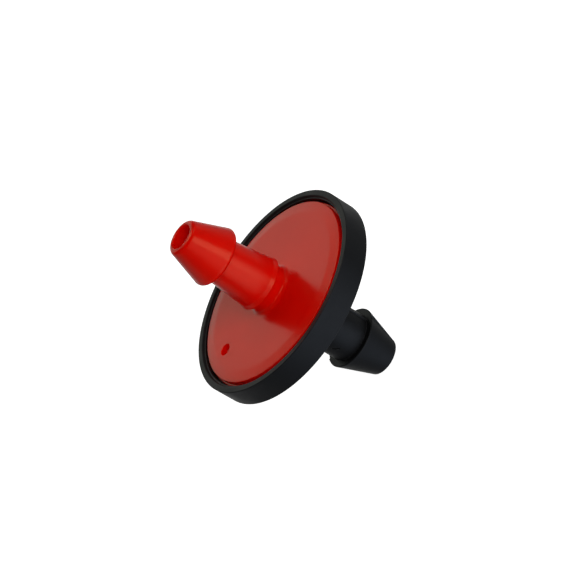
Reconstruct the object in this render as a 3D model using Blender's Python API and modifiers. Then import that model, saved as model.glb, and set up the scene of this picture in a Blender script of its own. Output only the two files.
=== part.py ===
"""Barbed drip emitter: black inlet base, red outlet cover that snaps in, flow insert and diaphragm.

Frame: metres, +Z up the flow axis. The inlet barb points down and the outlet barb up.
The origin is the centre of the inlet barb's end face.
"""

import math

import bmesh
import bpy
from mathutils import Vector

MM = 0.001

# ---- driving dimensions ---------------------------------------------------------------
TURN_STEPS = 48  # facets round a turned piece
FILLET_STEPS = 3  # segments in one rounded corner
HOLE_STEPS = 16  # facets round a small hole
CRISP_FILLET = 0.1 * MM  # edges straight from the mould
HUB_FILLET = 0.3 * MM

BORE_R = 1.15 * MM  # water way through both barbs
OVERALL_Z = 23.5 * MM  # end face of the outlet barb

# inlet base
RIM_R = 10.0 * MM
RIM_FRONT_Z = 13.4 * MM
UNDERSIDE_Z = 11.02 * MM
HUB_R = 5.5 * MM
HUB_BOTTOM_Z = 9.4 * MM
INLET_NECK_R = 2.28 * MM
INLET_ROOT_FILLET = 0.4 * MM
INLET_CREST_Z = 3.98 * MM
INLET_CREST_R = 2.93 * MM
INLET_TIP_R = 1.77 * MM
WELL_R = 4.9 * MM
WELL_FLOOR_Z = 10.0 * MM
CUP_FLOOR_Z = 11.6 * MM
CUP_R = 8.95 * MM
LEDGE_Z = 12.3 * MM  # the cover's flange sits over this
GROOVE_R = 9.4 * MM  # snap groove under the lip
LIP_BOTTOM_Z = 12.8 * MM
LIP_R = 9.22 * MM
LIP_STEP_R = 9.32 * MM
LIP_STEP_Z = 13.18 * MM
LIP_MOUTH_R = 9.44 * MM  # the bevel above the step ends here, and lets the cover's flange in

# outlet cover
COVER_BOTTOM_Z = 12.4 * MM
COVER_FACE_Z = 13.37 * MM
FLANGE_R = 9.12 * MM
FLANGE_TOP_Z = 12.7 * MM
FACE_WALL_R = 8.9 * MM
FACE_FLAT_R = 7.8 * MM  # the face is flat out to here, then falls away softly
FACE_DROP = 0.135 * MM
FACE_EDGE_FILLET = 0.05 * MM
WAIST_R = 2.2 * MM
WAIST_FILLET = 0.4 * MM
LIP_RING_Z = 14.62 * MM  # lower edge of the stalk's lip
LIP_RING_TOP_Z = 14.74 * MM
LIP_RING_R = 2.57 * MM
OUTLET_NECK_LOW_Z = 15.1 * MM
OUTLET_NECK_LOW_R = 2.45 * MM
OUTLET_NECK_TOP_R = 2.0 * MM
OUTLET_CREST_Z = 19.44 * MM
OUTLET_CREST_R = 2.92 * MM  # before its edge is rounded
OUTLET_CREST_FILLET = 0.34 * MM
OUTLET_TIP_R = 1.61 * MM
OUTLET_TIP_FILLET = 0.42 * MM
SEAT_R = 1.95 * MM  # raised seat round the bore, facing the diaphragm
SEAT_Z = 12.15 * MM
SEAT_GROOVE_W = 0.3 * MM
SEAT_GROOVE_DEPTH = 0.15 * MM
DIMPLE_R = 0.56 * MM
DIMPLE_DEPTH = 0.65 * MM
DIMPLE_PLACE_R = 6.75 * MM
DIMPLE_AZIMUTH = math.radians(166.5)

# flow insert
INSERT_TOP_Z = 12.3 * MM
INSERT_FLANGE_Z = 11.7 * MM
INSERT_R = 8.75 * MM
INSERT_CUP_R = 4.75 * MM
INSERT_BOTTOM_Z = 10.15 * MM
POCKET_R = 4.25 * MM
POCKET_FLOOR_Z = 10.75 * MM
FEED_HOLE_R = 0.7 * MM
CHANNEL_DEPTH = 0.35 * MM
CHANNEL_ROOT_IN_R = 6.0 * MM
CHANNEL_ROOT_OUT_R = 8.2 * MM
TOOTH_HEIGHT = 1.2 * MM
TOOTH_PITCHES = 20
TOOTH_STATIONS = 8  # points along one pitch
CHANNEL_SWEEP = math.radians(320)
CHANNEL_START = math.radians(-70)
CHANNEL_INSET = 0.03  # radians from the channel's ends to its port and its way out
CHANNEL_END_W = 0.6 * MM
CHANNEL_END_OVERLAP = 0.5 * MM  # how far the way out reaches over the pocket
PORT_R = 0.4 * MM
FILTER_SLOTS = 8
FILTER_SLOT_LONG = 1.5 * MM
FILTER_SLOT_WIDE = 0.35 * MM
FILTER_SLOT_PLACE_R = 2.4 * MM

# diaphragm
DIAPHRAGM_R = 4.1 * MM
DIAPHRAGM_LOW_Z = 10.85 * MM
DIAPHRAGM_THICK = 1.0 * MM
DIAPHRAGM_EDGE = 0.15 * MM  # width of the chamfer round both faces


# ---- scene and helpers ----------------------------------------------------------------
def clear_scene():
    for old in list(bpy.data.objects):
        bpy.data.objects.remove(old, do_unlink=True)


def new_collection(name):
    collection = bpy.data.collections.new(name)
    bpy.context.scene.collection.children.link(collection)
    return collection


def plastic(name, colour, roughness):
    material = bpy.data.materials.new(name)
    material.use_nodes = True
    shader = material.node_tree.nodes["Principled BSDF"]
    shader.inputs["Base Color"].default_value = (*colour, 1.0)
    shader.inputs["Roughness"].default_value = roughness
    shader.inputs["Metallic"].default_value = 0.0
    return material


def rounded(corners):
    """A closed outline from (r, z, fillet radius) corners, with an arc at each fillet."""
    outline = []
    count = len(corners)
    for index, (r, z, fillet) in enumerate(corners):
        corner = Vector((r, z))
        if fillet == 0.0:
            outline.append(corner)
            continue
        before = Vector(corners[index - 1][:2])
        after = Vector(corners[(index + 1) % count][:2])
        to_before = (before - corner).normalized()
        to_after = (after - corner).normalized()
        half = to_before.angle(to_after) / 2
        start = corner + to_before * (fillet / math.tan(half))
        end = corner + to_after * (fillet / math.tan(half))
        centre = corner + (to_before + to_after).normalized() * (fillet / math.sin(half))
        for step in range(FILLET_STEPS + 1):
            direction = (start - centre).slerp(end - centre, step / FILLET_STEPS).normalized()
            outline.append(centre + direction * fillet)
    return outline


def turned(name, outline, origin_z, material, collection, closed=True):
    """A piece of revolution about Z, with its object's origin on the axis at origin_z."""
    mesh = bpy.data.meshes.new(name)
    points = [(r, 0.0, z - origin_z) for r, z in outline]
    edges = [(i, i + 1) for i in range(len(points) - 1)]
    if closed:
        edges.append((len(points) - 1, 0))
    mesh.from_pydata(points, edges, [])
    piece = bpy.data.objects.new(name, mesh)
    collection.objects.link(piece)
    piece.location.z = origin_z
    screw = piece.modifiers.new("Turn", "SCREW")
    screw.axis = "Z"
    screw.angle = math.tau
    screw.steps = TURN_STEPS
    screw.render_steps = TURN_STEPS
    screw.use_merge_vertices = True
    screw.merge_threshold = 0.000002
    screw.use_smooth_shade = True
    mesh.materials.append(material)
    return piece


def sharpen(piece, angle=math.radians(30)):
    """Bake the modifiers into the mesh, and keep creases crisp while round faces shade smooth."""
    depsgraph = bpy.context.evaluated_depsgraph_get()
    baked = bpy.data.meshes.new_from_object(piece.evaluated_get(depsgraph))
    piece.modifiers.clear()
    piece.data = baked
    baked.shade_smooth()
    baked.set_sharp_from_angle(angle=angle)


def as_cutter(name, bm, collection):
    mesh = bpy.data.meshes.new(name)
    bmesh.ops.recalc_face_normals(bm, faces=bm.faces)
    bm.to_mesh(mesh)
    bm.free()
    cutter = bpy.data.objects.new(name, mesh)
    collection.objects.link(cutter)
    cutter.hide_render = True
    cutter.display_type = "WIRE"
    return cutter


def round_cutter(name, radius, low_z, high_z, place, collection):
    bm = bmesh.new()
    bmesh.ops.create_cone(
        bm,
        cap_ends=True,
        segments=HOLE_STEPS,
        radius1=radius,
        radius2=radius,
        depth=high_z - low_z,
    )
    cutter = as_cutter(name, bm, collection)
    cutter.location = (place[0], place[1], (low_z + high_z) / 2)
    return cutter


def box_cutter(name, size, centre, turn, collection):
    bm = bmesh.new()
    bmesh.ops.create_cube(bm, size=1.0)
    bmesh.ops.scale(bm, vec=size, verts=bm.verts)
    cutter = as_cutter(name, bm, collection)
    cutter.location = centre
    cutter.rotation_euler.z = turn
    return cutter


def cut(piece, cutter):
    boolean = piece.modifiers.new("Cut " + cutter.name, "BOOLEAN")
    boolean.operation = "DIFFERENCE"
    boolean.solver = "EXACT"
    boolean.object = cutter


def polar(radius, angle):
    return radius * math.cos(angle), radius * math.sin(angle)


# ---- the pieces -----------------------------------------------------------------------
def make_inlet_base(material, parts):
    """Shallow cup with a central well, a snap lip round its mouth, and the inlet barb below."""
    outline = rounded(
        [
            (RIM_R, RIM_FRONT_Z, CRISP_FILLET),
            (RIM_R, UNDERSIDE_Z, CRISP_FILLET),
            (HUB_R, UNDERSIDE_Z, HUB_FILLET),
            (HUB_R, HUB_BOTTOM_Z, HUB_FILLET),
            (INLET_NECK_R, HUB_BOTTOM_Z, INLET_ROOT_FILLET),
            (INLET_NECK_R, INLET_CREST_Z, 0.0),
            (INLET_CREST_R, INLET_CREST_Z, CRISP_FILLET),
            (INLET_TIP_R, 0.0, CRISP_FILLET),
            (BORE_R, 0.0, 0.0),
            (BORE_R, WELL_FLOOR_Z, 0.0),
            (WELL_R, WELL_FLOOR_Z, 0.0),
            (WELL_R, CUP_FLOOR_Z, 0.0),
            (CUP_R, CUP_FLOOR_Z, 0.0),
            (CUP_R, LEDGE_Z, 0.0),
            (GROOVE_R, LEDGE_Z, 0.0),
            (GROOVE_R, LIP_BOTTOM_Z, 0.0),
            (LIP_R, LIP_BOTTOM_Z, 0.0),
            (LIP_R, LIP_STEP_Z, 0.0),
            (LIP_STEP_R, LIP_STEP_Z, 0.0),
            (LIP_MOUTH_R, RIM_FRONT_Z, 0.0),
        ]
    )
    return turned("inlet_base", outline, UNDERSIDE_Z, material, parts)


def make_outlet_cover(material, parts, cutters):
    """Round plate with a snap flange, the outlet barb on its face and a seat ring underneath."""
    outline = rounded(
        [
            (BORE_R, OVERALL_Z, 0.0),
            (OUTLET_TIP_R, OVERALL_Z, OUTLET_TIP_FILLET),
            (OUTLET_CREST_R, OUTLET_CREST_Z, OUTLET_CREST_FILLET),
            (OUTLET_NECK_TOP_R, OUTLET_CREST_Z, 0.0),
            (OUTLET_NECK_LOW_R, OUTLET_NECK_LOW_Z, 0.0),
            (LIP_RING_R, LIP_RING_TOP_Z, 0.0),
            (LIP_RING_R, LIP_RING_Z, 0.0),
            (WAIST_R, LIP_RING_Z, 0.0),
            (WAIST_R, COVER_FACE_Z, WAIST_FILLET),
            (FACE_FLAT_R, COVER_FACE_Z, 0.0),
            (FACE_WALL_R, COVER_FACE_Z - FACE_DROP, FACE_EDGE_FILLET),
            (FACE_WALL_R, FLANGE_TOP_Z, 0.0),
            (FLANGE_R, FLANGE_TOP_Z, 0.0),
            (FLANGE_R, COVER_BOTTOM_Z, 0.0),
            (SEAT_R, COVER_BOTTOM_Z, 0.0),
            (SEAT_R, SEAT_Z, 0.0),
            (BORE_R, SEAT_Z, 0.0),
        ]
    )
    cover = turned("outlet_cover", outline, COVER_BOTTOM_Z, material, parts)
    dimple = round_cutter(
        "dimple_cutter",
        DIMPLE_R,
        COVER_FACE_Z - DIMPLE_DEPTH,
        COVER_FACE_Z + DIMPLE_DEPTH,
        polar(DIMPLE_PLACE_R, DIMPLE_AZIMUTH),
        cutters,
    )
    groove = box_cutter(
        "seat_groove_cutter",
        (2 * SEAT_R, SEAT_GROOVE_W, 2 * SEAT_GROOVE_DEPTH),
        (SEAT_R, 0.0, SEAT_Z),
        0.0,
        cutters,
    )
    cut(cover, dimple)
    cut(cover, groove)
    return cover


def tooth(phase):
    """Height of a tooth along one pitch, from 0 at its root to 1 across its tip."""
    triangle = 1.0 - 4.0 * abs((phase % 1.0) - 0.5)
    return min(1.0, max(0.0, 0.5 + triangle))


def labyrinth_cutter(collection):
    """The zigzag channel: a ribbon between two toothed walls, half a pitch out of step."""
    bm = bmesh.new()
    low = INSERT_TOP_Z - CHANNEL_DEPTH
    stations = TOOTH_PITCHES * TOOTH_STATIONS
    rungs = []
    for index in range(stations + 1):
        phase = index / TOOTH_STATIONS
        angle = CHANNEL_START + CHANNEL_SWEEP * index / stations
        inner = CHANNEL_ROOT_IN_R + TOOTH_HEIGHT * tooth(phase)
        outer = CHANNEL_ROOT_OUT_R - TOOTH_HEIGHT * tooth(phase + 0.5)
        rungs.append(
            (
                bm.verts.new((*polar(inner, angle), low)),
                bm.verts.new((*polar(outer, angle), low)),
            )
        )
    for (inner_a, outer_a), (inner_b, outer_b) in zip(rungs, rungs[1:]):
        bm.faces.new((inner_a, outer_a, outer_b, inner_b))
    raised = bmesh.ops.extrude_face_region(bm, geom=bm.faces[:])["geom"]
    lifted = [item for item in raised if isinstance(item, bmesh.types.BMVert)]
    bmesh.ops.translate(bm, vec=(0.0, 0.0, 2 * CHANNEL_DEPTH), verts=lifted)
    return as_cutter("labyrinth_cutter", bm, collection)


def make_flow_insert(material, parts, cutters):
    """Stepped disc: the labyrinth is in its flange's top, and the diaphragm lies in its pocket."""
    outline = [
        (INSERT_R, INSERT_TOP_Z),
        (INSERT_R, INSERT_FLANGE_Z),
        (INSERT_CUP_R, INSERT_FLANGE_Z),
        (INSERT_CUP_R, INSERT_BOTTOM_Z),
        (FEED_HOLE_R, INSERT_BOTTOM_Z),
        (FEED_HOLE_R, POCKET_FLOOR_Z),
        (POCKET_R, POCKET_FLOOR_Z),
        (POCKET_R, INSERT_TOP_Z),
    ]
    insert = turned("flow_insert", outline, INSERT_FLANGE_Z, material, parts)
    cut(insert, labyrinth_cutter(cutters))
    middle_r = (CHANNEL_ROOT_IN_R + CHANNEL_ROOT_OUT_R) / 2
    port = round_cutter(
        "port_cutter",
        PORT_R,
        INSERT_FLANGE_Z - MM,
        INSERT_TOP_Z + MM,
        polar(middle_r, CHANNEL_START + CHANNEL_INSET),
        cutters,
    )
    cut(insert, port)
    end_angle = CHANNEL_START + CHANNEL_SWEEP - CHANNEL_INSET
    outlet_run = middle_r - POCKET_R + CHANNEL_END_OVERLAP
    run_middle = polar(POCKET_R - CHANNEL_END_OVERLAP + outlet_run / 2, end_angle)
    run = box_cutter(
        "channel_end_cutter",
        (outlet_run, CHANNEL_END_W, 2 * CHANNEL_DEPTH),
        (*run_middle, INSERT_TOP_Z),
        end_angle,
        cutters,
    )
    cut(insert, run)
    for index in range(FILTER_SLOTS):
        angle = math.tau * index / FILTER_SLOTS
        slot = box_cutter(
            f"filter_slot_cutter_{index}",
            (FILTER_SLOT_LONG, FILTER_SLOT_WIDE, 2 * MM),
            (*polar(FILTER_SLOT_PLACE_R, angle), POCKET_FLOOR_Z),
            angle,
            cutters,
        )
        cut(insert, slot)
    return insert


def make_diaphragm(material, parts):
    """Loose silicone disc with chamfered edges."""
    top = DIAPHRAGM_LOW_Z + DIAPHRAGM_THICK
    outline = [
        (0.0, top),
        (DIAPHRAGM_R - DIAPHRAGM_EDGE, top),
        (DIAPHRAGM_R, top - DIAPHRAGM_EDGE),
        (DIAPHRAGM_R, DIAPHRAGM_LOW_Z + DIAPHRAGM_EDGE),
        (DIAPHRAGM_R - DIAPHRAGM_EDGE, DIAPHRAGM_LOW_Z),
        (0.0, DIAPHRAGM_LOW_Z),
    ]
    return turned("diaphragm", outline, DIAPHRAGM_LOW_Z, material, parts, closed=False)


def attach(child, parent):
    """Parent a piece and leave it where it stands."""
    child.parent = parent
    child.matrix_parent_inverse = parent.matrix_world.inverted()


def main():
    clear_scene()
    parts = new_collection("drip_emitter")
    cutters = new_collection("drip_emitter_cutters")
    black = plastic("black_plastic", (0.012, 0.013, 0.015), 0.42)
    red = plastic("red_plastic", (0.55, 0.008, 0.004), 0.3)
    natural = plastic("natural_plastic", (0.62, 0.6, 0.52), 0.45)
    silicone = plastic("silicone", (0.05, 0.05, 0.055), 0.6)

    base = make_inlet_base(black, parts)
    cover = make_outlet_cover(red, parts, cutters)
    insert = make_flow_insert(natural, parts, cutters)
    diaphragm = make_diaphragm(silicone, parts)
    bpy.context.view_layer.update()
    for piece in (base, cover, insert, diaphragm):
        sharpen(piece)

    origin = bpy.data.objects.new("inlet_end_centre", None)
    parts.objects.link(origin)
    attach(base, origin)
    attach(cover, base)
    attach(insert, base)
    bpy.context.view_layer.update()
    attach(diaphragm, insert)
    cutters.hide_viewport = True


main()
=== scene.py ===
"""Looks of the barbed drip emitter: fine moulded pieces, their plastics, the light and the camera.

Lengths are millimetres in the named values below, and metres in the meshes.
"""

import math

import bmesh
import bpy
from mathutils import Matrix, Vector, noise


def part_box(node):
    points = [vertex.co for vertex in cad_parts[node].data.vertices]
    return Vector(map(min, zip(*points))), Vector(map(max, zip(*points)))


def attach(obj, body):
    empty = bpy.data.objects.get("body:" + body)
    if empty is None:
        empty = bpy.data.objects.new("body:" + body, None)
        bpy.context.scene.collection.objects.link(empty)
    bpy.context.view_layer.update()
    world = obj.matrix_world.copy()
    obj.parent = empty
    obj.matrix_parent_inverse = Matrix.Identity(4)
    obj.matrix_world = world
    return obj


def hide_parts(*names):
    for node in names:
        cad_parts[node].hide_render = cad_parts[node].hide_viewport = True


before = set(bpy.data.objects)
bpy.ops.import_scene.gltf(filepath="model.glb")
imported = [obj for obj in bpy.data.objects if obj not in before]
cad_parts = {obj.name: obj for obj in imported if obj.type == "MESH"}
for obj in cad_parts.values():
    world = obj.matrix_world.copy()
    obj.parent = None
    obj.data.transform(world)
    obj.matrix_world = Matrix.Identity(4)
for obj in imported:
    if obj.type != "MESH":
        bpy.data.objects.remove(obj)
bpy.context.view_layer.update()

MM = 0.001
TURN_STEPS = 256  # facets round a turned piece
HOLE_STEPS = 48  # facets round a small hole or mark
FILLET_STEPS = 8  # segments in one rounded corner
SUPPORT = 0.04  # a flat's last ring lies this far from the rounding next to it
MERGE = 1e-7  # metres; points closer than this are one
SMOOTH_BELOW = math.radians(32)  # edges that turn by more stay sharp
OVERSHOOT = 1.0  # how far a cutter reaches past the face that it opens
CLEAR = 0.01  # keeps a cutter's corner off that face

# ---- sizes taken from the frame -------------------------------------------------------
base_low, base_high = (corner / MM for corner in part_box("inlet_base"))
cover_low, cover_high = (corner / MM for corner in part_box("outlet_cover"))
insert_low, insert_high = (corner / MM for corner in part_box("flow_insert"))
disc_low, disc_high = (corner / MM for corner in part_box("diaphragm"))

INLET_END_Z = base_low.z
RIM_R = base_high.x
RIM_FRONT_Z = base_high.z
OUTLET_END_Z = cover_high.z
FLANGE_R = cover_high.x
SEAT_Z = cover_low.z
INSERT_R = insert_high.x
INSERT_TOP_Z = insert_high.z
INSERT_BOTTOM_Z = insert_low.z
DISC_R = disc_high.x
DISC_TOP_Z = disc_high.z
DISC_BOTTOM_Z = disc_low.z

# ---- sizes inside those boxes ---------------------------------------------------------
BORE_R = 1.15

# inlet base
UNDERSIDE_Z = RIM_FRONT_Z - 2.38
HUB_R = 5.5
HUB_BOTTOM_Z = 9.4
HUB_ROUND = 0.3
INLET_ROOT_ROUND = 0.4
INLET_NECK_R = 2.28
INLET_CREST_Z = 3.98
INLET_CREST_R = 2.93
INLET_TIP_R = 1.77
WELL_R = 4.9
WELL_FLOOR_Z = 10.0
CUP_FLOOR_Z = 11.6
CUP_R = 8.95
LEDGE_Z = 12.3
GROOVE_R = 9.4
SNAP_LIP_Z = 12.8
SNAP_LIP_R = 9.22
LIP_STEP_R = 9.32
LIP_STEP_Z = RIM_FRONT_Z - 0.22
LIP_MOUTH_R = 9.44

# the mould's joint along the inlet neck and barb
PARTING = math.radians(-24.5)  # its azimuth
PARTING_OFFSETS = (0.004, 0.01, 0.018, 0.03, 0.05)  # radians; extra stations on both sides of it
PARTING_TOP_Z = HUB_BOTTOM_Z - 0.5
PARTING_INNER_R = BORE_R + 0.05
PARTING_FADE = 0.3  # the shift and the flash fade out over this length at both ends
PARTING_FADE_IN = 0.2  # and over this depth towards the bore
MOULD_SHIFT = 0.1  # how far one half of the mould sits off the other
FLASH_TALL = 0.07
FLASH_WIDE = 0.06

# marks on the inlet base
NICK_AZIMUTH = math.radians(-131.0)
NICK_Z = 5.6
NICK_LONG = 0.75
NICK_WIDE = 0.14
NICK_DEEP = 0.2
PIN_MARK_R = 0.75
PIN_MARK_DEEP = 0.05
PIN_MARKS = 3

# outlet cover
COVER_BOTTOM_Z = 12.4
FACE_Z = 13.37
FLANGE_TOP_Z = 12.7
FACE_WALL_R = 8.9
FACE_BEND_R = 7.8
FACE_BEND_ROUND = 4.0
FACE_DROP = 0.135
WAIST_R = 2.2
WAIST_ROUND = 0.4
LIP_RING_Z = 14.62
LIP_RING_TOP_Z = 14.74
LIP_RING_R = 2.57
OUTLET_NECK_LOW_Z = 15.1
OUTLET_NECK_LOW_R = 2.45
OUTLET_NECK_TOP_R = 2.0
OUTLET_CREST_Z = 19.44
OUTLET_CREST_R = 2.92
OUTLET_CREST_ROUND = 0.34
OUTLET_TIP_R = 1.62
OUTLET_TIP_ROUND = 0.42
OUTLET_MOUTH_ROUND = 0.14
SEAT_R = 1.95
SEAT_GROOVE_WIDE = 0.3
SEAT_GROOVE_DEEP = 0.15
DIMPLE_R = 0.56
DIMPLE_DEEP = 0.65
DIMPLE_FLARE = 0.05
DIMPLE_FLOOR_RISE = 0.04  # how far its floor rises towards the middle
DIMPLE_FLOOR_ROUND = 0.12
DIMPLE_PLACE_R = 6.75
DIMPLE_AZIMUTH = math.radians(166.5)

# flow insert
INSERT_FLANGE_Z = 11.7
INSERT_CUP_R = 4.75
POCKET_R = 4.25
POCKET_FLOOR_Z = 10.75
FEED_HOLE_R = 0.7
CHANNEL_DEEP = 0.35
CHANNEL_ROOT_IN_R = 6.0
CHANNEL_ROOT_OUT_R = 8.2
TOOTH_HEIGHT = 1.2
TOOTH_PITCHES = 20
TOOTH_STATIONS = 24
CHANNEL_SWEEP = math.radians(320)
CHANNEL_START = math.radians(-70)
CHANNEL_INSET = 0.03
CHANNEL_END_WIDE = 0.6
CHANNEL_END_OVERLAP = 0.5
PORT_R = 0.4
FILTER_SLOTS = 8
FILTER_SLOT_LONG = 1.5
FILTER_SLOT_WIDE = 0.35
FILTER_SLOT_PLACE_R = 2.4

# ---- studio ---------------------------------------------------------------------------
# direction from the object, reach in degrees, and colour of each glow
GLOWS = (
    ((0.0, 0.95, 0.3), 40.0, (0.56, 0.6, 0.56)),
    ((0.0, 0.85, -0.5), 48.0, (0.5, 0.5, 0.48)),
    ((-0.7, 0.5, -0.5), 60.0, (0.18, 0.185, 0.19)),
    ((0.7, 0.5, -0.5), 60.0, (0.18, 0.185, 0.19)),
    ((0.0, -0.88, -0.47), 60.0, (0.58, 0.66, 0.8)),
    ((0.15, 0.35, 0.92), 30.0, (0.6, 0.56, 0.48)),
    ((1.0, -0.1, 0.0), 55.0, (0.06, 0.06, 0.06)),
    ((-1.0, -0.1, 0.2), 55.0, (0.05, 0.05, 0.05)),
)
# name, direction from the object, side in metres, watts, and whether the plastics mirror it
LAMPS = (
    ("key", (0.79, -0.13, 0.60), 0.15, 0.04, True),
    ("fill", (0.44, -0.894, 0.02), 0.2, 0.11, True),
    ("front", (0.3, -0.8, 0.5), 0.2, 0.64, False),
    ("side", (-0.8, -0.5, 0.1), 0.2, 0.15, False),
    ("top", (0.2, 0.2, 0.96), 0.15, 0.12, True),
)
LAMP_AWAY = 0.4  # metres
FLOOR_SIDE = 4.0  # metres
FLOOR_GAP = 0.2  # below the inlet barb's end
FLOOR_GLOW = 0.95
CAMERA_ELEVATION = math.radians(28.07)
CAMERA_ROLL = math.radians(-59.09)
CAMERA_LENS = 143.9
CAMERA_SENSOR = 36.0
CAMERA_AWAY = 200.0
CAMERA_AIM_RIGHT = 1.295  # from the middle of the rim's front
CAMERA_AIM_UP = 0.431
CAMERA_NEAREST = 0.01  # metres


# ---- mesh helpers ---------------------------------------------------------------------
def rounded(corners):
    """A closed outline from (r, z, fillet) corners: arcs at the fillets, with support points beside."""
    outline = []
    for index, (r, z, fillet) in enumerate(corners):
        corner = Vector((r, z))
        if fillet == 0.0:
            outline.append(corner)
            continue
        before = Vector(corners[index - 1][:2])
        after = Vector(corners[(index + 1) % len(corners)][:2])
        to_before = (before - corner).normalized()
        to_after = (after - corner).normalized()
        half = to_before.angle(to_after) / 2
        reach = fillet / math.tan(half)
        start = corner + to_before * reach
        end = corner + to_after * reach
        centre = corner + (to_before + to_after).normalized() * (fillet / math.sin(half))
        if (before - start).length > 3 * SUPPORT:
            outline.append(start + to_before * SUPPORT)
        for step in range(FILLET_STEPS + 1):
            direction = (start - centre).slerp(end - centre, step / FILLET_STEPS).normalized()
            outline.append(centre + direction * fillet)
        if (after - end).length > 3 * SUPPORT:
            outline.append(end + to_after * SUPPORT)
    return outline


def stations_round(extra=()):
    """Azimuths round a turned piece, closer together on both sides of each extra azimuth."""
    angles = {round(math.tau * step / TURN_STEPS, 6) for step in range(TURN_STEPS)}
    for azimuth in extra:
        for offset in PARTING_OFFSETS:
            angles.add(round((azimuth - offset) % math.tau, 6))
            angles.add(round((azimuth + offset) % math.tau, 6))
    return sorted(angles)


def turned(name, outline, stations, place=None):
    """A piece of revolution. place(angle, r, z) may move a point, and gives its (x, y, z)."""
    bm = bmesh.new()
    rings = []
    for angle in stations:
        ring = []
        for r, z in outline:
            at = place(angle, r, z) if place else (*polar(r, angle), z)
            ring.append(bm.verts.new(Vector(at) * MM))
        rings.append(ring)
    count = len(outline)
    for index, ring in enumerate(rings):
        following = rings[(index + 1) % len(rings)]
        for step in range(count):
            quad = (ring[step], following[step], following[(step + 1) % count], ring[(step + 1) % count])
            bm.faces.new(quad)
    bmesh.ops.remove_doubles(bm, verts=bm.verts, dist=MERGE)
    bmesh.ops.recalc_face_normals(bm, faces=bm.faces)
    return as_object(name, bm)


def as_object(name, bm):
    """The finished mesh as an object in the scene."""
    mesh = bpy.data.meshes.new(name)
    bm.to_mesh(mesh)
    bm.free()
    made = bpy.data.objects.new(name, mesh)
    bpy.context.scene.collection.objects.link(made)
    return made


def polar(radius, angle):
    """The (x, y) of a point at this radius and azimuth."""
    return radius * math.cos(angle), radius * math.sin(angle)


def disc_shape(radius, low, high, place):
    """An upright cylinder at place (x, y), from low to high."""
    bm = bmesh.new()
    bmesh.ops.create_cone(
        bm,
        cap_ends=True,
        segments=HOLE_STEPS,
        radius1=radius * MM,
        radius2=radius * MM,
        depth=(high - low) * MM,
    )
    bmesh.ops.translate(bm, vec=Vector((*place, (low + high) / 2)) * MM, verts=bm.verts)
    return as_object("cutter", bm)


def box_shape(size, centre, turn=0.0):
    """A box of this size round its centre, turned about the vertical."""
    bm = bmesh.new()
    bmesh.ops.create_cube(bm, size=1.0)
    bmesh.ops.scale(bm, vec=Vector(size) * MM, verts=bm.verts)
    bmesh.ops.rotate(bm, cent=(0, 0, 0), matrix=Matrix.Rotation(turn, 3, "Z"), verts=bm.verts)
    bmesh.ops.translate(bm, vec=Vector(centre) * MM, verts=bm.verts)
    return as_object("cutter", bm)


def nick_shape():
    """A thin blade that scores the inlet neck at a slant."""
    upright = Vector((0.0, 0.0, 1.0))
    outward = Vector((*polar(1.0, NICK_AZIMUTH), 0.0))
    along = (upright.cross(outward) - upright).normalized()
    turn = Matrix((outward, along, outward.cross(along))).transposed()
    bm = bmesh.new()
    bmesh.ops.create_cube(bm, size=1.0)
    bmesh.ops.scale(bm, vec=Vector((2 * NICK_DEEP, NICK_LONG, NICK_WIDE)) * MM, verts=bm.verts)
    bmesh.ops.rotate(bm, cent=(0, 0, 0), matrix=turn, verts=bm.verts)
    centre = outward * INLET_NECK_R + upright * NICK_Z
    bmesh.ops.translate(bm, vec=centre * MM, verts=bm.verts)
    return as_object("cutter", bm)


def cut_away(piece, cutters):
    """Cut each cutter out of the piece, bake the result, and remove the cutters."""
    for cutter in cutters:
        boolean = piece.modifiers.new("Cut", "BOOLEAN")
        boolean.operation = "DIFFERENCE"
        boolean.solver = "EXACT"
        boolean.object = cutter
    bake(piece)
    for cutter in cutters:
        bpy.data.objects.remove(cutter, do_unlink=True)


def bake(piece):
    """Turn the piece's modifiers into plain mesh."""
    depsgraph = bpy.context.evaluated_depsgraph_get()
    baked = bpy.data.meshes.new_from_object(piece.evaluated_get(depsgraph))
    piece.modifiers.clear()
    piece.data = baked


def smooth(piece):
    piece.data.shade_smooth()
    piece.data.set_sharp_from_angle(angle=SMOOTH_BELOW)


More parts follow.
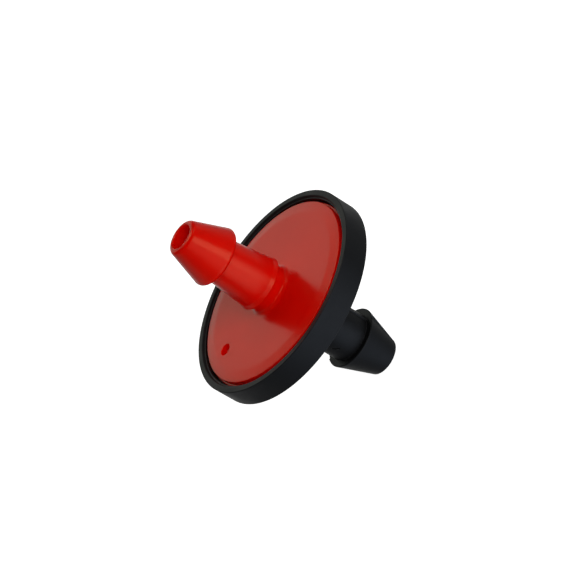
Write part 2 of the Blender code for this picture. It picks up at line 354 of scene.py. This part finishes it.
# ---- materials ------------------------------------------------------------------------
class Recipe:
    """A node material built up by short calls."""

    def __init__(self, name):
        self.material = bpy.data.materials.new(name)
        self.material.use_nodes = True
        self.tree = self.material.node_tree
        self.shader = self.tree.nodes["Principled BSDF"]
        self.where = self.node("ShaderNodeTexCoord").outputs["Object"]

    def node(self, kind, inputs=None, **settings):
        made = self.tree.nodes.new(kind)
        for key, value in settings.items():
            setattr(made, key, value)
        for key, value in (inputs or {}).items():
            self.feed(made.inputs[key], value)
        return made

    def feed(self, socket, value):
        """Link a node's output to the socket, or set the socket to a plain value."""
        if isinstance(value, bpy.types.NodeSocket):
            self.tree.links.new(value, socket)
        else:
            socket.default_value = value

    def grain(self, size, detail=3.0, roughness=0.55):
        """Noise whose features are about size millimetres across, from 0 to 1."""
        made = self.node(
            "ShaderNodeTexNoise",
            {"Vector": self.where, "Scale": 1.0 / (size * MM), "Detail": detail, "Roughness": roughness},
        )
        return made.outputs["Fac"]

    def ramp(self, value, low, high, to_low=0.0, to_high=1.0):
        made = self.node(
            "ShaderNodeMapRange",
            {"Value": value, "From Min": low, "From Max": high, "To Min": to_low, "To Max": to_high},
        )
        return made.outputs["Result"]

    def math(self, operation, first, second):
        made = self.node("ShaderNodeMath", operation=operation)
        self.feed(made.inputs[0], first)
        self.feed(made.inputs[1], second)
        return made.outputs["Value"]

    def mix(self, share, first, second):
        made = self.node("ShaderNodeMix", data_type="RGBA")
        self.feed(made.inputs["Factor"], share)
        self.feed(made.inputs["A"], first)
        self.feed(made.inputs["B"], second)
        return made.outputs["Result"]

    def edge_mask(self, radius):
        """0 on flats, up to 1 on edges sharper than radius millimetres."""
        bevel = self.node("ShaderNodeBevel", {"Radius": radius * MM}, samples=6)
        normal = self.node("ShaderNodeNewGeometry").outputs["Normal"]
        dot = self.node("ShaderNodeVectorMath", operation="DOT_PRODUCT")
        self.feed(dot.inputs[0], bevel.outputs["Normal"])
        self.feed(dot.inputs[1], normal)
        return self.ramp(dot.outputs["Value"], 0.995, 0.93)

    def bump(self, height, depth, strength=1.0):
        made = self.node(
            "ShaderNodeBump", {"Height": height, "Distance": depth * MM, "Strength": strength}
        )
        return made.outputs["Normal"]

    def finish(self, **inputs):
        """Feed the shader, and give back the material."""
        for key, value in inputs.items():
            self.feed(self.shader.inputs[key.replace("_", " ")], value)
        return self.material


def black_plastic():
    """Satin black polyethylene: fine moulded grain, uneven sheen, scuffs and paler edges."""
    recipe = Recipe("black_plastic_fine")
    cloud = recipe.grain(2.2, detail=2.0)
    grain = recipe.grain(0.11, detail=4.0)
    scuffs = recipe.ramp(recipe.grain(0.5, detail=5.0, roughness=0.7), 0.6, 0.75)
    edges = recipe.math("MULTIPLY", recipe.edge_mask(0.12), recipe.ramp(grain, 0.35, 0.65))
    colour = recipe.mix(cloud, (0.004, 0.004, 0.004, 1.0), (0.0065, 0.0066, 0.007, 1.0))
    colour = recipe.mix(recipe.math("MULTIPLY", edges, 0.35), colour, (0.09, 0.09, 0.088, 1.0))
    colour = recipe.mix(recipe.math("MULTIPLY", scuffs, 0.12), colour, (0.06, 0.06, 0.062, 1.0))
    sheen = recipe.ramp(cloud, 0.3, 0.7, 0.46, 0.56)
    sheen = recipe.math("ADD", sheen, recipe.ramp(grain, 0.0, 1.0, -0.05, 0.05))
    normal = recipe.bump(grain, 0.012, 0.7)
    return recipe.finish(Base_Color=colour, Roughness=sheen, Normal=normal, Specular_IOR_Level=0.4)


def red_plastic():
    """Glossy, slightly translucent red plastic with a faint orange-peel surface and a painted orange
    glow along its sharp edges.
    """
    recipe = Recipe("red_plastic_fine")
    cloud = recipe.grain(3.0, detail=2.0)
    peel = recipe.grain(0.45, detail=3.0)
    mottle = recipe.grain(0.16, detail=3.0)
    edges = recipe.edge_mask(0.1)
    colour = recipe.mix(cloud, (0.86, 0.002, 0.0002, 1.0), (0.92, 0.0045, 0.0004, 1.0))
    # painted glow: the sharp edges are tinted orange to stand in for light shining through the thin red
    # plastic there
    colour = recipe.mix(recipe.math("MULTIPLY", edges, 0.25), colour, (0.9, 0.03, 0.006, 1.0))
    sheen = recipe.ramp(mottle, 0.25, 0.75, 0.16, 0.26)
    height = recipe.math("ADD", peel, recipe.math("MULTIPLY", mottle, 0.5))
    return recipe.finish(
        Base_Color=colour,
        Roughness=sheen,
        Normal=recipe.bump(height, 0.006, 0.6),
        Subsurface_Weight=0.75,
        Subsurface_Radius=(1.0, 0.1, 0.05),
        Subsurface_Scale=1.4 * MM,
        Specular_Tint=(1.0, 0.95, 0.5, 1.0),
        Specular_IOR_Level=0.5,
    )


def natural_plastic():
    """Undyed milky acetal with a satin face."""
    recipe = Recipe("natural_plastic_fine")
    cloud = recipe.grain(1.8, detail=2.0)
    grain = recipe.grain(0.12, detail=3.0)
    edges = recipe.edge_mask(0.08)
    colour = recipe.mix(cloud, (0.60, 0.575, 0.49, 1.0), (0.68, 0.66, 0.58, 1.0))
    colour = recipe.mix(recipe.math("MULTIPLY", edges, 0.4), colour, (0.8, 0.79, 0.73, 1.0))
    return recipe.finish(
        Base_Color=colour,
        Roughness=recipe.ramp(grain, 0.2, 0.8, 0.34, 0.5),
        Normal=recipe.bump(grain, 0.004, 0.5),
        Subsurface_Weight=0.3,
        Subsurface_Radius=(1.0, 0.9, 0.7),
        Subsurface_Scale=0.4 * MM,
    )


def silicone():
    """Dark silicone rubber: matt, with a powdery bloom."""
    recipe = Recipe("silicone_fine")
    cloud = recipe.grain(1.2, detail=4.0)
    grain = recipe.grain(0.08, detail=3.0)
    colour = recipe.mix(cloud, (0.035, 0.035, 0.038, 1.0), (0.075, 0.075, 0.08, 1.0))
    return recipe.finish(
        Base_Color=colour,
        Roughness=recipe.ramp(cloud, 0.3, 0.7, 0.5, 0.68),
        Normal=recipe.bump(grain, 0.005, 0.5),
        Specular_IOR_Level=0.4,
        Sheen_Weight=0.15,
    )


def dress(piece, material, slot, body, *nodes):
    """Give a piece its plastic, and let it stand for its CAD nodes."""
    piece.data.materials.clear()
    piece.data.materials.append(material)
    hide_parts(*nodes)
    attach(piece, body)


# ---- the pieces -----------------------------------------------------------------------
def split_mould(angle, r, z):
    """The inlet neck and barb as two mould halves left them: slightly shifted, with flash between."""
    if z > PARTING_TOP_Z or r <= PARTING_INNER_R:
        return *polar(r, angle), z
    turn = (angle - PARTING) % math.tau
    side = 1.0 if turn < math.pi else -1.0
    fade_ends = min(PARTING_TOP_Z - z, z - INLET_END_Z) / PARTING_FADE
    fade = min(1.0, fade_ends, (r - PARTING_INNER_R) / PARTING_FADE_IN)
    shift = side * MOULD_SHIFT / 2 * fade
    along = min(turn, abs(turn - math.pi), math.tau - turn) * r
    uneven = 0.7 + 0.5 * noise.noise(Vector((0.0, side, z * 1.3)))
    flash = FLASH_TALL * uneven * fade * max(0.0, 1.0 - along / (FLASH_WIDE / 2))
    x = (r + flash) * math.cos(angle) + shift * math.cos(PARTING)
    y = (r + flash) * math.sin(angle) + shift * math.sin(PARTING)
    return x, y, z


def make_inlet_base(material):
    """The black cup with its hub and inlet barb."""
    outline = rounded(
        [
            (RIM_R, RIM_FRONT_Z, 0.08),
            (RIM_R, UNDERSIDE_Z, 0.06),
            (HUB_R, UNDERSIDE_Z, HUB_ROUND),
            (HUB_R, HUB_BOTTOM_Z, HUB_ROUND),
            (INLET_NECK_R, HUB_BOTTOM_Z, INLET_ROOT_ROUND),
            (INLET_NECK_R, INLET_CREST_Z, 0.06),
            (INLET_CREST_R, INLET_CREST_Z, 0.08),
            (INLET_TIP_R, INLET_END_Z, 0.04),
            (BORE_R, INLET_END_Z, 0.08),
            (BORE_R, WELL_FLOOR_Z, 0.15),
            (WELL_R, WELL_FLOOR_Z, 0.2),
            (WELL_R, CUP_FLOOR_Z, 0.1),
            (CUP_R, CUP_FLOOR_Z, 0.15),
            (CUP_R, LEDGE_Z, 0.05),
            (GROOVE_R, LEDGE_Z, 0.08),
            (GROOVE_R, SNAP_LIP_Z, 0.05),
            (SNAP_LIP_R, SNAP_LIP_Z, 0.05),
            (SNAP_LIP_R, LIP_STEP_Z, 0.03),
            (LIP_STEP_R, LIP_STEP_Z, 0.02),
            (LIP_MOUTH_R, RIM_FRONT_Z, 0.12),
        ]
    )
    both_sides = (PARTING, PARTING + math.pi)
    base = turned("base_fine", outline, stations_round(both_sides), split_mould)
    marks = []
    for index in range(PIN_MARKS):
        place = polar((HUB_R + RIM_R) / 2, PARTING + math.tau * (index + 0.5) / PIN_MARKS)
        top = UNDERSIDE_Z + PIN_MARK_DEEP
        marks.append(disc_shape(PIN_MARK_R, UNDERSIDE_Z - OVERSHOOT, top, place))
    cut_away(base, [*marks, nick_shape()])
    smooth(base)
    dress(base, material, "black_plastic", "base", "inlet_base")


def dimple_shape():
    """The gate mark's cutter: straight walls, a rounded foot and a flared mouth."""
    floor_z = FACE_Z - DIMPLE_DEEP
    mouth_r = DIMPLE_R + DIMPLE_FLARE
    outline = rounded(
        [
            (0.0, FACE_Z + OVERSHOOT, 0.0),
            (0.0, floor_z + DIMPLE_FLOOR_RISE, 0.0),
            (DIMPLE_R, floor_z, DIMPLE_FLOOR_ROUND),
            (DIMPLE_R, FACE_Z - DIMPLE_FLARE, 0.0),
            (mouth_r, FACE_Z + CLEAR, 0.0),
            (mouth_r, FACE_Z + OVERSHOOT, 0.0),
        ]
    )
    made = turned("cutter", outline, [math.tau * step / HOLE_STEPS for step in range(HOLE_STEPS)])
    place = Vector((*polar(DIMPLE_PLACE_R, DIMPLE_AZIMUTH), 0.0))
    made.data.transform(Matrix.Translation(place * MM))
    return made


def make_outlet_cover(material):
    """The red plate with the outlet stalk, its snap flange and the seat beneath."""
    outline = rounded(
        [
            (BORE_R, OUTLET_END_Z, OUTLET_MOUTH_ROUND),
            (OUTLET_TIP_R, OUTLET_END_Z, OUTLET_TIP_ROUND),
            (OUTLET_CREST_R, OUTLET_CREST_Z, OUTLET_CREST_ROUND),
            (OUTLET_NECK_TOP_R, OUTLET_CREST_Z, 0.08),
            (OUTLET_NECK_LOW_R, OUTLET_NECK_LOW_Z, 0.3),
            (LIP_RING_R, LIP_RING_TOP_Z, 0.03),
            (LIP_RING_R, LIP_RING_Z, 0.03),
            (WAIST_R, LIP_RING_Z, 0.06),
            (WAIST_R, FACE_Z, WAIST_ROUND),
            (FACE_BEND_R, FACE_Z, FACE_BEND_ROUND),
            (FACE_WALL_R, FACE_Z - FACE_DROP, 0.05),
            (FACE_WALL_R, FLANGE_TOP_Z, 0.06),
            (FLANGE_R, FLANGE_TOP_Z, 0.1),
            (FLANGE_R, COVER_BOTTOM_Z, 0.1),
            (SEAT_R, COVER_BOTTOM_Z, 0.05),
            (SEAT_R, SEAT_Z, 0.05),
            (BORE_R, SEAT_Z, 0.05),
        ]
    )
    cover = turned("cover_fine", outline, stations_round())
    groove_size = (2 * SEAT_R, SEAT_GROOVE_WIDE, 2 * SEAT_GROOVE_DEEP)
    groove = box_shape(groove_size, (SEAT_R, 0.0, SEAT_Z))
    cut_away(cover, [dimple_shape(), groove])
    smooth(cover)
    dress(cover, material, "red_plastic", "cover", "outlet_cover")


def tooth(phase):
    """Height of a tooth along one pitch, from 0 at its root to 1 across its tip."""
    triangle = 1.0 - 4.0 * abs((phase % 1.0) - 0.5)
    flat = min(1.0, max(0.0, 0.5 + triangle))
    return flat * flat * (3.0 - 2.0 * flat)


def labyrinth_shape():
    """The zigzag channel's cutter: interlocking teeth on both sides of an arc."""
    bm = bmesh.new()
    stations = TOOTH_PITCHES * TOOTH_STATIONS
    low = INSERT_TOP_Z - CHANNEL_DEEP
    rungs = []
    for index in range(stations + 1):
        phase = index / TOOTH_STATIONS
        angle = CHANNEL_START + CHANNEL_SWEEP * index / stations
        inner = CHANNEL_ROOT_IN_R + TOOTH_HEIGHT * tooth(phase)
        outer = CHANNEL_ROOT_OUT_R - TOOTH_HEIGHT * tooth(phase + 0.5)
        rungs.append([bm.verts.new(Vector((*polar(r, angle), low)) * MM) for r in (inner, outer)])
    for (inner_a, outer_a), (inner_b, outer_b) in zip(rungs, rungs[1:]):
        bm.faces.new((inner_a, outer_a, outer_b, inner_b))
    raised = bmesh.ops.extrude_face_region(bm, geom=bm.faces[:])["geom"]
    lifted = [item for item in raised if isinstance(item, bmesh.types.BMVert)]
    bmesh.ops.translate(bm, vec=(0.0, 0.0, 2 * CHANNEL_DEEP * MM), verts=lifted)
    bmesh.ops.recalc_face_normals(bm, faces=bm.faces)
    return as_object("cutter", bm)


def make_flow_insert(material):
    """The stepped disc with the labyrinth, its port, the pocket and the filter slots."""
    outline = rounded(
        [
            (INSERT_R, INSERT_TOP_Z, 0.08),
            (INSERT_R, INSERT_FLANGE_Z, 0.08),
            (INSERT_CUP_R, INSERT_FLANGE_Z, 0.1),
            (INSERT_CUP_R, INSERT_BOTTOM_Z, 0.15),
            (FEED_HOLE_R, INSERT_BOTTOM_Z, 0.05),
            (FEED_HOLE_R, POCKET_FLOOR_Z, 0.05),
            (POCKET_R, POCKET_FLOOR_Z, 0.15),
            (POCKET_R, INSERT_TOP_Z, 0.05),
        ]
    )
    insert = turned("insert_fine", outline, stations_round())
    middle_r = (CHANNEL_ROOT_IN_R + CHANNEL_ROOT_OUT_R) / 2
    port_place = polar(middle_r, CHANNEL_START + CHANNEL_INSET)
    port = disc_shape(PORT_R, INSERT_FLANGE_Z - OVERSHOOT, INSERT_TOP_Z + OVERSHOOT, port_place)
    end_angle = CHANNEL_START + CHANNEL_SWEEP - CHANNEL_INSET
    run_long = middle_r - POCKET_R + CHANNEL_END_OVERLAP
    run_middle = polar(POCKET_R - CHANNEL_END_OVERLAP + run_long / 2, end_angle)
    run_size = (run_long, CHANNEL_END_WIDE, 2 * CHANNEL_DEEP)
    run = box_shape(run_size, (*run_middle, INSERT_TOP_Z), end_angle)
    slot_size = (FILTER_SLOT_LONG, FILTER_SLOT_WIDE, 2 * OVERSHOOT)
    slots = []
    for index in range(FILTER_SLOTS):
        angle = math.tau * index / FILTER_SLOTS
        slots.append(box_shape(slot_size, (*polar(FILTER_SLOT_PLACE_R, angle), POCKET_FLOOR_Z), angle))
    cut_away(insert, [labyrinth_shape(), port, run, *slots])
    smooth(insert)
    dress(insert, material, "natural_plastic", "insert", "flow_insert")


def make_diaphragm(material):
    """The loose silicone disc in the insert's pocket."""
    outline = rounded(
        [
            (0.0, DISC_TOP_Z, 0.0),
            (DISC_R, DISC_TOP_Z, 0.15),
            (DISC_R, DISC_BOTTOM_Z, 0.15),
            (0.0, DISC_BOTTOM_Z, 0.0),
        ]
    )
    disc = turned("diaphragm_fine", outline, stations_round())
    smooth(disc)
    dress(disc, material, "silicone", "membrane", "diaphragm")


# ---- floor, light and camera ----------------------------------------------------------
def make_floor():
    """A pale sheet that is clear from below, so that the emitter's underside shows too."""
    level = (INLET_END_Z - FLOOR_GAP) * MM
    bpy.ops.mesh.primitive_plane_add(size=FLOOR_SIDE, location=(0.0, 0.0, level))
    floor = bpy.context.object
    floor.name = "floor"
    recipe = Recipe("pale_floor")
    below = recipe.node("ShaderNodeNewGeometry").outputs["Backfacing"]
    floor.data.materials.append(
        recipe.finish(
            Alpha=recipe.math("SUBTRACT", 1.0, below),
            Base_Color=(0.8, 0.8, 0.8, 1.0),
            Roughness=0.9,
            Emission_Color=(1.0, 1.0, 1.0, 1.0),
            Emission_Strength=FLOOR_GLOW,
        )
    )
    floor.visible_glossy = False
    floor.visible_diffuse = False
    floor.visible_shadow = False


def make_world():
    """A studio of soft glows, each centred on one direction, and plain white where the camera looks."""
    world = bpy.data.worlds.new("studio")
    bpy.context.scene.world = world
    world.use_nodes = True
    tree = world.node_tree
    background = tree.nodes["Background"]
    where = tree.nodes.new("ShaderNodeTexCoord").outputs["Generated"]
    total = None
    for direction, reach, colour in GLOWS:
        dot = tree.nodes.new("ShaderNodeVectorMath")
        dot.operation = "DOT_PRODUCT"
        dot.inputs[1].default_value = Vector(direction).normalized()
        tree.links.new(where, dot.inputs[0])
        share = tree.nodes.new("ShaderNodeMapRange")
        share.interpolation_type = "SMOOTHSTEP"
        share.inputs["From Min"].default_value = math.cos(math.radians(reach))
        tree.links.new(dot.outputs["Value"], share.inputs["Value"])
        glow = tree.nodes.new("ShaderNodeVectorMath")
        glow.operation = "SCALE"
        glow.inputs[0].default_value = colour
        tree.links.new(share.outputs["Result"], glow.inputs["Scale"])
        if total is None:
            total = glow
            continue
        both = tree.nodes.new("ShaderNodeVectorMath")
        both.operation = "ADD"
        tree.links.new(total.outputs["Vector"], both.inputs[0])
        tree.links.new(glow.outputs["Vector"], both.inputs[1])
        total = both
    seen = tree.nodes.new("ShaderNodeMix")
    seen.data_type = "RGBA"
    seen.inputs["B"].default_value = (1.0, 1.0, 1.0, 1.0)
    rays = tree.nodes.new("ShaderNodeLightPath")
    tree.links.new(rays.outputs["Is Camera Ray"], seen.inputs["Factor"])
    tree.links.new(total.outputs["Vector"], seen.inputs["A"])
    tree.links.new(seen.outputs["Result"], background.inputs["Color"])


def softbox(name, towards, side, power, mirrored):
    """A square lamp in the given direction from the object, facing it."""
    lamp = bpy.data.lights.new(name, "AREA")
    lamp.size = side
    lamp.energy = power
    made = bpy.data.objects.new(name, lamp)
    bpy.context.scene.collection.objects.link(made)
    middle = Vector((0.0, 0.0, FACE_Z * MM))
    direction = Vector(towards).normalized()
    made.location = middle + direction * LAMP_AWAY
    made.rotation_euler = (-direction).to_track_quat("-Z", "Y").to_euler()
    made.visible_glossy = mirrored


def make_camera():
    """A camera in front of the rim, lifted, rolled, and aimed beside the rim's middle."""
    data = bpy.data.cameras.new("camera")
    data.lens = CAMERA_LENS
    data.sensor_width = CAMERA_SENSOR
    data.clip_start = CAMERA_NEAREST
    camera = bpy.data.objects.new("camera", data)
    bpy.context.scene.collection.objects.link(camera)
    lean = Matrix.Rotation(math.pi / 2 - CAMERA_ELEVATION, 3, "X")
    turn = lean @ Matrix.Rotation(CAMERA_ROLL, 3, "Z")
    right, up, back = turn.col
    aim = Vector((0.0, 0.0, RIM_FRONT_Z)) + right * CAMERA_AIM_RIGHT + up * CAMERA_AIM_UP
    camera.location = (aim + back * CAMERA_AWAY) * MM
    camera.rotation_euler = turn.to_euler()
    bpy.context.scene.camera = camera


make_camera()
make_floor()
make_world()
for lamp_row in LAMPS:
    softbox(*lamp_row)
make_inlet_base(black_plastic())
make_outlet_cover(red_plastic())
make_flow_insert(natural_plastic())
make_diaphragm(silicone())
bpy.context.scene.view_settings.view_transform = "Standard"
